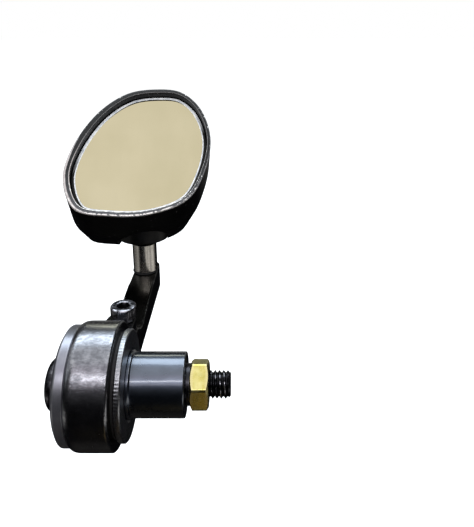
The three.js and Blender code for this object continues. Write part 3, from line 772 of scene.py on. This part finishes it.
def hex_nut(look):
    """Hexagon cut by a 30 degree cone at both ends, with countersunk bore."""
    low, high = NUT_LOW.x, NUT_HIGH.x
    face = NUT_AF / 2 - 0.15
    slope = math.tan(math.radians(30))
    flat = hexagonal(NUT_AF, NUT_TURN, ease=0.18)
    stations = [(BOLT_R + 0.12, low + 0.6, 0.0), (4.65, low + 0.1, 0.3), (4.8, low, 0.6),
                (face - 0.25, low, 0.2)]
    shares = (0.0, 0.12, 0.35, 0.65, 0.88, 1.0)
    crown = []
    for share in shares:
        crown.append((lambda a, t=share: face + (flat(a) - face) * t,
                      lambda a, t=share: (flat(a) - face) * t * slope,
                      0.3 + 0.5 * share ** 2))
    for radius, drop, mark in crown:
        stations.append((radius, lambda a, d=drop: low + 0.05 + d(a), mark))
    stations.append((flat, low + 1.2, 0.0))
    stations.append((flat, high - 1.2, 0.0))
    for radius, drop, mark in reversed(crown):
        stations.append((radius, lambda a, d=drop: high - 0.05 - d(a), mark))
    stations += [(face - 0.25, high, 0.2), (4.8, high, 0.6), (4.65, high - 0.1, 0.3),
                 (BOLT_R + 0.12, high - 0.6, 0.0)]
    piece = spun("hex_nut_faced", stations, ALONG_X, steps=180, closed=True)
    return finish_piece(piece, "nut", ["hex_nut"], look)


# ---------- arm ----------
def bezier(a, b, c, d, steps):
    points = []
    for i in range(1, steps + 1):
        t = i / steps
        weights = ((1 - t) ** 3, 3 * t * (1 - t) ** 2, 3 * t * t * (1 - t), t ** 3)
        points.append(tuple(sum(w * p[k] for w, p in zip(weights, (a, b, c, d)))
                            for k in range(2)))
    return points


def arm_side():
    """The bar's outline from the side, as (y, z)."""
    side = [(8, SLIT_LOW + 3), (27, SLIT_LOW)]
    side += bezier((27, SLIT_LOW), (31, SLIT_LOW), (31.5, -2.9), (38, -2.9), 14)
    side += bezier((38, -2.9), (46, -2.9), (52, 0), (68, 0), 14)
    side += [(ARM_END, 0), (ARM_END, -9.5)]
    side += bezier((ARM_END, -9.5), (ARM_END, -11.6), (ARM_END - 1.4, -12.8),
                   (ARM_END - 4, -12.9), 6)
    side += [(40, -14.6), (12, -15.6), (8, -15)]
    return side


def arm_plan():
    """The bar's outline from above, as (x, y)."""
    return [(ARM_OUT - 1, 5), (ARM_IN, 5), (ARM_IN, ARM_END - 2), (ARM_IN - 0.6, ARM_END - 0.6),
            (ARM_IN - 2, ARM_END), (ARM_TIP_OUT + 2, ARM_END), (ARM_TIP_OUT + 0.6, ARM_END - 0.6),
            (ARM_TIP_OUT, ARM_END - 2), (ARM_OUT, 30), (ARM_OUT - 1, 17)]


def bevel_wedge(name, x, inward):
    """What is cut off along a lower corner of the bar."""
    low = BEVEL_TOP - 10
    top = BEVEL_TOP + 1 / BEVEL_SLOPE
    outline = [(x - inward, top), (x + inward * 10 * BEVEL_SLOPE, low), (x - inward * 2, low),
               (x - inward * 2, top)]
    along_y = Matrix(((1, 0, 0, 0), (0, 0, 1, 0), (0, 1, 0, 0), (0, 0, 0, 1)))
    return prism(name, outline, 0, ARM_END + 2, along_y)


def mirror_arm(look):
    """The clamp ring with its ear and bar, cast in one piece and cut by the slit and holes."""
    arm = prism("mirror_arm_cast", arm_side(), ARM_OUT - 1, ARM_IN + 1, ALONG_X)
    combine(arm, prism("plan", arm_plan(), -22, 8, Matrix.Identity(4)), "INTERSECT")
    combine(arm, bevel_wedge("inner_bevel", ARM_IN, -1), "DIFFERENCE")
    combine(arm, bevel_wedge("outer_bevel", ARM_OUT, 1), "DIFFERENCE")
    ear_out, ear_in = -12.4, -2.8
    ear = [(ear_out, 10), (ear_out, 24)]
    ear += bezier((ear_out, 24), (ear_out, EAR_END + 1), (ear_in, EAR_END + 1), (ear_in, 25), 20)
    ear += [(ear_in, 10)]
    combine(arm, prism("ear", ear, SLIT_LOW - 0.5, EAR_TOP, Matrix.Identity(4)), "UNION")
    rise = RING_R - CAP_HIGH.z
    ring = [(3, RING_OUT)]
    for i in range(9):
        turn = math.radians(90 * i / 8)
        ring.append((CAP_HIGH.z + rise * math.sin(turn), RING_OUT + 2.6 * (1 - math.cos(turn))))
    ring += [(RING_R, RING_IN - 0.5), (RING_R - 0.5, RING_IN), (3, RING_IN)]
    combine(arm, turned("ring", ring, ALONG_X, 0.0, 240), "UNION")
    bore = [(0, RING_OUT - 1), (RING_BORE, RING_OUT - 1), (RING_BORE, RING_IN + 1),
            (0, RING_IN + 1)]
    combine(arm, turned_solid("bore", bore, ALONG_X, 0.0, 240), "DIFFERENCE")
    slit = [(RING_OUT - 1, 5), (RING_IN + 1, 5), (RING_IN + 1, EAR_END + 3),
            (RING_OUT - 1, EAR_END + 3)]
    combine(arm, prism("slit", slit, SLIT_LOW, SLIT_HIGH, Matrix.Identity(4)), "DIFFERENCE")
    hole_r = 2.52
    pinch_hole = [(0, -7), (hole_r, -7), (hole_r, EAR_TOP + 1), (0, EAR_TOP + 1)]
    at_pinch = Matrix.Translation((PINCH_X, PINCH_Y, 0))
    combine(arm, turned_solid("pinch_hole", pinch_hole, at_pinch, 0.0, 96), "DIFFERENCE")
    stem_hole = [(0, -17), (4.6, -17), (4.6, -7), (2.75, -7), (2.75, -3), (3.55, -3), (3.55, 1),
                 (0, 1)]
    combine(arm, turned_solid("stem_hole", stem_hole, AT_STEM, 0.0, 96), "DIFFERENCE")
    cast(arm, 0.3, 5)
    arm.data.materials.clear()
    arm.data.materials.append(look)
    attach(arm, "arm")
    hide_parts("mirror_arm")
    return arm


def cap_screw(name, radius, head, shank, length, across, place, teeth=34):
    """Socket head cap screw with a knurled head, point down, head seated at height 0."""
    key = hexagonal(across, ease=0.05)
    depth = 2.4
    pitch, thread_depth, knurl_depth = 0.8, 0.3, 0.11

    def knurl(r):
        return lambda angle: r - knurl_depth * (0.5 + 0.5 * math.cos(teeth * angle))

    def thread(z, fade):
        return lambda a: shank - thread_depth * fade * abs(2 * ((z / pitch - a / TURN) % 1) - 1)

    stations = [(0, head - depth - 0.3, 0.0), (lambda a: key(a) * 0.95, head - depth, -0.6),
                (key, head - depth + 0.15, -0.4), (key, head - 0.3, 0.2),
                (lambda a: max(key(a), across * 0.55), head - 0.06, 0.7),
                (across * 0.6, head, 0.5), (radius - 0.62, head, 0.6),
                (radius - 0.3, head - 0.1, 1.0), (radius - 0.08, head - 0.38, 0.8),
                (knurl(radius), head - 0.6, 0.3), (knurl(radius), 1.25, 0.2),
                (radius - 0.12, 1.0, 0.4), (radius - 0.6, 0.05, 0.3), (radius - 0.75, 0, 0.0),
                (shank + 0.15, 0, -0.5), (shank, -0.2, -0.3)]
    rows = round((length - 0.4) / (pitch / 8))
    for i in range(rows + 1):
        z = -0.3 - (length - 0.4) * i / rows
        fade = min(1.0, i / 8) * min(1.0, (rows - i) / 6)
        stations.append((thread(z, fade), z, 0.0))
    stations += [(shank - 0.5, -length, 0.2), (0, -length, 0.0)]
    return spun(name, stations, place, steps=teeth * 6)


def pinch_screw(look):
    place = Matrix.Translation((PINCH_X, PINCH_Y, EAR_TOP + 0.05))
    length = place.translation.z - PINCH_LOW.z
    piece = cap_screw("pinch_screw_knurled", PINCH_R, PINCH_H, 2.45, length, 4.0, place)
    return finish_piece(piece, "pinch", ["pinch_screw"], look)


def stem_screw(look):
    head = 4.7
    upside_down = Matrix.Rotation(math.pi, 4, "X")
    place = AT_STEM @ Matrix.Translation((0, 0, SCREW_LOW.z + head)) @ upside_down
    length = SCREW_HIGH.z - SCREW_LOW.z - head
    piece = cap_screw("stem_screw_knurled", 4.2, head, STEM_BORE - RUN, length, 4.0, place, 32)
    return finish_piece(piece, "arm", ["stem_screw"], look)


def stem(look):
    """A turned pillar with a chamfer at each end and a spigot in the arm."""
    low, top = STEM_LOW.z, STEM_TOP
    profile = [(STEM_BORE, low, 0.1), (3.5, low, 0.15), (3.5, STEM_BASE, 0.1),
               (STEM_R - 0.25, STEM_BASE, 0.1), (STEM_R, STEM_BASE + 0.3, 0.15),
               (STEM_R, top - 0.4, 0.2), (STEM_R - 0.4, top, 0.2), (STEM_BORE, top, 0.15)]
    piece = spun("stem_turned", rounded(profile, steps=3), AT_STEM, 160, closed=True)
    return finish_piece(piece, "arm", ["stem"], look)


def stem_gasket(look):
    profile = [(3.62, 0.05), (5.25, 0.05), (5.25, 0.6), (3.62, 0.6)]
    piece = turned("stem_gasket_ring", profile, AT_STEM, 0.2, 96)
    return finish_piece(piece, "arm", ["stem_gasket"], look)


def ball_stud(look):
    low = STEM_TOP + 0.05 - BALL.z
    tail = 6.5 - BALL.z
    stations = [(0, tail, 0.0), (2.0, tail, 0.4), (STEM_BORE - RUN, tail + 0.5, 0.4),
                (STEM_BORE - RUN, low, -0.3), (3.1, low, 0.2), (3.2, low + 0.1, 0.8),
                (3.2, low + 0.35, 0.6), (2.7, low + 0.55, 0.0), (NECK_R, low + 0.9, 0.0)]
    start = -90 + math.degrees(math.asin(NECK_R / BALL_R))
    for i in range(33):
        turn = math.radians(start + (80 - start) * i / 32)
        stations.append((BALL_R * math.cos(turn), BALL_R * math.sin(turn), 0.0))
    stations.append((0, BALL_R * math.sin(math.radians(80)), 0.0))
    piece = spun("ball_stud_turned", stations, AT_BALL, 96)
    return finish_piece(piece, "arm", ["ball_stud"], look)


# ---------- head ----------
def outline_points():
    """The closed centripetal Catmull-Rom curve through OUTLINE, as flat vectors."""
    points = [Vector(p) for p in OUTLINE]
    n = len(points)
    made = []
    for i in range(n):
        a, b, c, d = (points[(i + k) % n] for k in (-1, 0, 1, 2))
        t0, t1, t2 = ((q - p).length ** 0.5 for p, q in ((a, b), (b, c), (c, d)))
        start = ((b - a) / t0 - (c - a) / (t0 + t1) + (c - b) / t1) * t1
        end = ((c - b) / t1 - (d - b) / (t1 + t2) + (d - c) / t2) * t1
        for k in range(SPAN_STEPS):
            t = k / SPAN_STEPS
            made.append(b * (2 * t ** 3 - 3 * t ** 2 + 1) + c * (3 * t ** 2 - 2 * t ** 3)
                        + start * (t ** 3 - 2 * t ** 2 + t) + end * (t ** 3 - t ** 2))
    return made


HEAD_OUTLINE = outline_points()
HEAD_MIDDLE = sum(HEAD_OUTLINE, Vector((0, 0))) / len(HEAD_OUTLINE)


def head_ring(inset, n, rise=0.0, share=1.0, shift=0.0):
    """The head's outline moved inwards, drawn towards its middle, or shifted, at a height n."""
    ring = []
    last = len(HEAD_OUTLINE)
    for i, point in enumerate(HEAD_OUTLINE):
        along = HEAD_OUTLINE[(i + 1) % last] - HEAD_OUTLINE[i - 1]
        inward = Vector((-along.y, along.x)).normalized()
        if inward.dot(HEAD_MIDDLE - point) < 0:
            inward = -inward
        at = HEAD_MIDDLE.lerp(point + inward * inset, share)
        ring.append(AT_HEAD @ Vector((at.x + shift, at.y, n + rise * max(0.0, at.y))))
    return ring


def head_pole(n, rise=0.0, shift=0.0):
    at = HEAD_MIDDLE
    return [AT_HEAD @ Vector((at.x + shift, at.y, n + rise * at.y))]


def mirror_housing(look):
    """A deep dished casting with a rim, hollow under the glass, and a ball socket in its foot."""
    floor_inset, back_inset, dish = 7.8, 6.2, 0.5
    path = rounded([
        (40, FLOOR_N, 0), (floor_inset, FLOOR_N, 1.5), (4.8, LEDGE_N, 0.2), (RIM_W + 0.1, LEDGE_N, 0.1),
        (RIM_W, RIM_N, 0.35), (1.5, RIM_N, 0), (SKIM, RIM_N, 0.6), (SKIM, WALL_N, 1.6),
        (3.5, FACET_N, 1.2), (back_inset, BACK_N, 1.6), (40, BACK_N, 0)], steps=4)
    rings, marks = [head_pole(FLOOR_N, BACK_RISE, RECESS_SHIFT)], [0.0]
    for share in (0.25, 0.5, 0.75):
        rings.append(head_ring(floor_inset, FLOOR_N, BACK_RISE, share, RECESS_SHIFT))
        marks.append(0.0)
    for inset, n, mark in path[1:-1]:
        rise = BACK_RISE * min(1.0, max(0.0, (WALL_N + 2 - n) / 4))
        inside = inset > 1.6 and n > FLOOR_N - 0.1
        rings.append(head_ring(inset, n, rise, shift=RECESS_SHIFT if inside else 0.0))
        rim_edge = n > RIM_N - 0.02 and inset < 1
        marks.append(max(mark, 0.6) if rim_edge else mark)
    for share in (0.93, 0.75, 0.5, 0.25):
        rings.append(head_ring(back_inset, BACK_N - dish * (1 - share ** 2), BACK_RISE, share))
        marks.append(0.0)
    rings.append(head_pole(BACK_N - dish, BACK_RISE))
    marks.append(0.0)
    piece = skin("mirror_housing_cast", rings, marks, closed=False)
    spot_face = [(0, MOUTH_S - 16), (BOSS_R, MOUTH_S - 16), (BOSS_R, MOUTH_S), (0, MOUTH_S)]
    combine(piece, turned_solid("spot_face", spot_face, AT_BALL, 0.0), "DIFFERENCE")
    post_top = 10.6
    post = rounded([(0, MOUTH_S, 0), (BOSS_R, MOUTH_S, 0.8), (BOSS_R, 1, 0.3), (POST_R, 2, 0.3),
                    (POST_R, post_top, 0.3), (0, post_top, 0)])
    post = spun("post", [(0, MOUTH_S, 0.0), *post[1:-1], (0, post_top, 0.0)], AT_BALL)
    below_glass = prism("below_glass", [(-60, -60), (60, -60), (60, 90), (-60, 90)], -40,
                        LEDGE_N - 0.4, AT_HEAD)
    combine(post, below_glass, "INTERSECT")
    combine(piece, post, "UNION")
    shell, cup_bore, retainer_bore = SHELL_R + RUN, 6.9, 7.15
    throat = math.sqrt(shell ** 2 - THROAT_S ** 2)
    low = math.degrees(math.asin(THROAT_S / shell))
    socket = [(0, MOUTH_S - 1, 0.0), (7.0, MOUTH_S - 1, 0.0), (throat, THROAT_S - 0.4, 0.0),
              (throat, THROAT_S, 0.0)]
    for i in range(13):
        turn = math.radians(low * (1 - i / 12))
        socket.append((shell * math.cos(turn), shell * math.sin(turn), 0.0))
    socket += [(cup_bore, 0.3, 0.0), (cup_bore, RETAINER_S - 0.1, 0.0),
               (retainer_bore, RETAINER_S - 0.1, 0.0), (retainer_bore, 12, 0.0), (0, 12, 0.0)]
    combine(piece, spun("socket", socket, AT_BALL), "DIFFERENCE")
    smooth(piece, 32)
    return finish_piece(piece, "head", ["mirror_housing"], look)


def mirror_glass(look):
    """A convex glass with a ground bevel along its edge."""
    inset = RIM_W + GLASS_GAP
    top = GLASS_EDGE_N + 0.15
    low = top - GLASS_BEVEL_H
    rings = [head_pole(GLASS_BACK_N, shift=RECESS_SHIFT),
             head_ring(inset + 0.2, GLASS_BACK_N, share=0.5, shift=RECESS_SHIFT)]
    marks = [0.0, 0.0]
    section = [(0.2, GLASS_BACK_N, 0.2), (0, GLASS_BACK_N + 0.2, 0.2), (0, low - 0.1, 0.25),
               (0.06, low, 0.3), (0.5, low + 0.13, 0.5), (1.0, low + 0.28, 0.75),
               (GLASS_BEVEL_W - 0.04, top - 0.01, 1.0), (GLASS_BEVEL_W, top, 0.0)]
    for extra, n, mark in section:
        rings.append(head_ring(inset + extra, n, shift=RECESS_SHIFT))
        marks.append(mark)
    for i in range(1, 14):
        share = 1 - i / 14
        n = top + GLASS_CROWN * (1 - share ** 2)
        rings.append(head_ring(inset + GLASS_BEVEL_W, n, 0.0, share, RECESS_SHIFT))
        marks.append(0.0)
    rings.append(head_pole(top + GLASS_CROWN, shift=RECESS_SHIFT))
    marks.append(0.0)
    piece = skin("mirror_glass_convex", rings, marks, closed=False)
    smooth(piece, 9)
    return finish_piece(piece, "head", ["mirror_glass"], look)


# ---------- CAD nodes that stay, with finished materials ----------
def dress(node, material):
    shown = frame["nodes"][node]
    shown.data.materials.clear()
    shown.data.materials.append(material)
    rounding = shown.modifiers.new("rounding", "BEVEL")
    rounding.width = 0.08 * MM
    rounding.segments = 2
    rounding.limit_method = "ANGLE"
    rounding.angle_limit = math.radians(40)


# ---------- stage ----------
DOME = 1.08
FLOOR_TONE = 0.94


def camera():
    """A camera a little above the mirror, with its frame shifted below its axis."""
    data = bpy.data.cameras.new("camera")
    data.sensor_width = 36
    data.lens = 37.35
    data.shift_x = -0.003
    data.shift_y = -0.157
    data.clip_start = 0.01
    data.clip_end = 50
    eye = bpy.data.objects.new("camera", data)
    eye.location = (0.0314, -0.1354, 0.1028)
    eye.rotation_euler = (math.radians(73.2), 0, 0)
    bpy.context.scene.collection.objects.link(eye)
    bpy.context.scene.camera = eye


def softbox(name, place, aim, width, height, radiance, colour=(1, 1, 1)):
    """An area light of an even radiance, unseen by the camera."""
    data = bpy.data.lights.new(name, "AREA")
    data.shape = "RECTANGLE"
    data.size = width
    data.size_y = height
    data.energy = radiance * math.pi * width * height
    data.color = colour
    lamp = bpy.data.objects.new(name, data)
    lamp.location = place
    lamp.rotation_euler = (Vector(aim) - Vector(place)).to_track_quat("-Z", "Y").to_euler()
    lamp.visible_camera = False
    bpy.context.scene.collection.objects.link(lamp)


def world():
    """Plain white for the camera and a pale dome for diffuse light. Reflections see a dim room,
    with striped patches low on both sides, a patch behind and a tinted one below."""
    sky = bpy.data.worlds.new("studio")
    sky.use_nodes = True
    sky.cycles.sampling_method = "NONE"
    bpy.context.scene.world = sky
    s = Nodes(sky.node_tree, "Generated")
    parts = s.node("ShaderNodeSeparateXYZ", {"Vector": s.place}).outputs
    rise = s.calc("MAXIMUM", parts["Z"], 0.0)
    room = s.mix(rise, (0.005, 0.005, 0.006), (0.14, 0.14, 0.14))
    aside = s.calc("MAXIMUM", s.band(parts["X"], 0.1, 0.22),
                   s.band(parts["X"], -0.58, -0.75, 0.0, 0.5))
    low = s.times(s.band(parts["Z"], -0.25, -0.33), s.band(parts["Z"], -0.6, -0.5))
    ahead = s.band(parts["Y"], 0.45, 0.0)
    stripes = s.calc("MULTIPLY_ADD", s.calc("SINE", s.times(parts["X"], 22.0)), 0.3)
    stripes.node.inputs[2].default_value = 0.7
    walls = s.times(s.times(aside, low), s.times(ahead, stripes))
    room = s.mix(walls, room, (0.95, 0.92, 0.87))
    room = s.mix(s.band(parts["Z"], -0.88, -0.96), room, (0.03, 0.028, 0.026))
    behind = s.times(s.band(parts["Y"], 0.75, 0.9), s.band(parts["Z"], -0.4, -0.25))
    room = s.mix(s.times(behind, s.band(parts["Z"], 0.15, 0.05)), room, (0.22, 0.22, 0.21))
    under = s.times(s.band(parts["Z"], -0.6, -0.7), s.band(parts["Z"], -0.9, -0.85))
    under = s.times(under, s.band(parts["X"], -0.08, -0.04))
    under = s.times(under, s.band(parts["X"], 0.08, 0.04))
    room = s.mix(s.times(under, s.band(parts["Y"], 0.0, -0.1)), room, (0.45, 0.33, 0.16))
    above = s.band(parts["Z"], -0.05, 0.05)
    dome = s.mix(above, (0.02, 0.02, 0.022), (DOME, DOME, DOME))
    path = s.node("ShaderNodeLightPath").outputs
    seen = s.mix(path["Is Diffuse Ray"], room, dome)
    seen = s.mix(path["Is Camera Ray"], seen, (1.0, 1.0, 1.0))
    s.put(s.tree.nodes["Background"].inputs["Color"], seen)


def floor():
    """A plain floor, below the reach of the arm wherever it is turned."""
    size = 6.0
    z = -math.hypot(CAD_BOX[1].y, CAD_BOX[1].z) - 0.005
    mesh = bpy.data.meshes.new("floor")
    corners = [(-size, -size, z), (size, -size, z), (size, size, z), (-size, size, z)]
    mesh.from_pydata(corners, [], [(0, 1, 2, 3)])
    ground = bpy.data.objects.new("floor", mesh)
    bpy.context.scene.collection.objects.link(ground)
    s = Shader("floor_pale", Specular_IOR_Level=0.0)
    tone = s.mix(s.noise(40, 3.0), (FLOOR_TONE - 0.01,) * 3, (FLOOR_TONE + 0.01,) * 3)
    mesh.materials.append(s.set(Base_Color=tone, Roughness=1.0))
    ground.visible_glossy = False
    ground.visible_diffuse = False


def studio():
    """Soft panels above, behind, in front and on the left, and a slim bright strip in front."""
    camera()
    world()
    floor()
    softbox("ceiling", (0, -0.035, 0.62), (0, -0.035, 0), 1.2, 0.45, 1.05, (0.97, 0.98, 1.0))
    softbox("window", (0, 0.39, 0.6), (0, 0.39, 0), 1.0, 0.4, 4.2, (0.84, 0.93, 1.0))
    softbox("front", (0, -0.48, 0.58), (0, 0.03, 0), 0.8, 0.46, 1.15, (1.0, 0.92, 0.98))
    softbox("strip", (0, -0.477, 0.512), (0, 0, 0), 0.7, 0.04, 7.0)
    softbox("left", (-0.62, 0.05, 0.36), (0, 0.03, 0), 0.7, 0.4, 0.5, (0.93, 0.96, 1.0))
    bpy.context.scene.view_settings.view_transform = "Standard"


# ---------- assembly ----------
studio()
black_steel = steel_black()
upright_steel = steel_black("steel_black_upright", "Z", (PINCH_X * MM, PINCH_Y * MM, 0), 0.18)
screw_steel = steel_black("steel_black_screw", "Z", (BALL.x * MM, BALL.y * MM, 0))
bright = stainless()
plastic = black_plastic()
white_nylon = nylon()
flange_disc(disc_grey())
end_cap(cap_grey())
end_bolt(black_steel)
expander_sleeve(sleeve_black())
thrust_washer(black_steel)
yellow = zinc_yellow()
hex_nut(yellow)
casting = casting_black()
mirror_arm(casting)
pinch_screw(upright_steel)
stem_screw(screw_steel)
stem(stem_steel())
stem_gasket(plastic)
ball_stud(bright)
mirror_housing(housing_black())
mirror_glass(mirror_silver())
for node, material in (
        ("hub", casting), ("inner_friction_washer", plastic), ("outer_friction_washer", plastic),
        ("bolt_spring_washer", black_steel), ("stem_lock_washer", bright),
        ("ball_seat", white_nylon), ("pressure_cup", white_nylon), ("glass_pad", plastic),
        ("socket_spring", bright), ("socket_retainer", yellow)):
    dress(node, material)
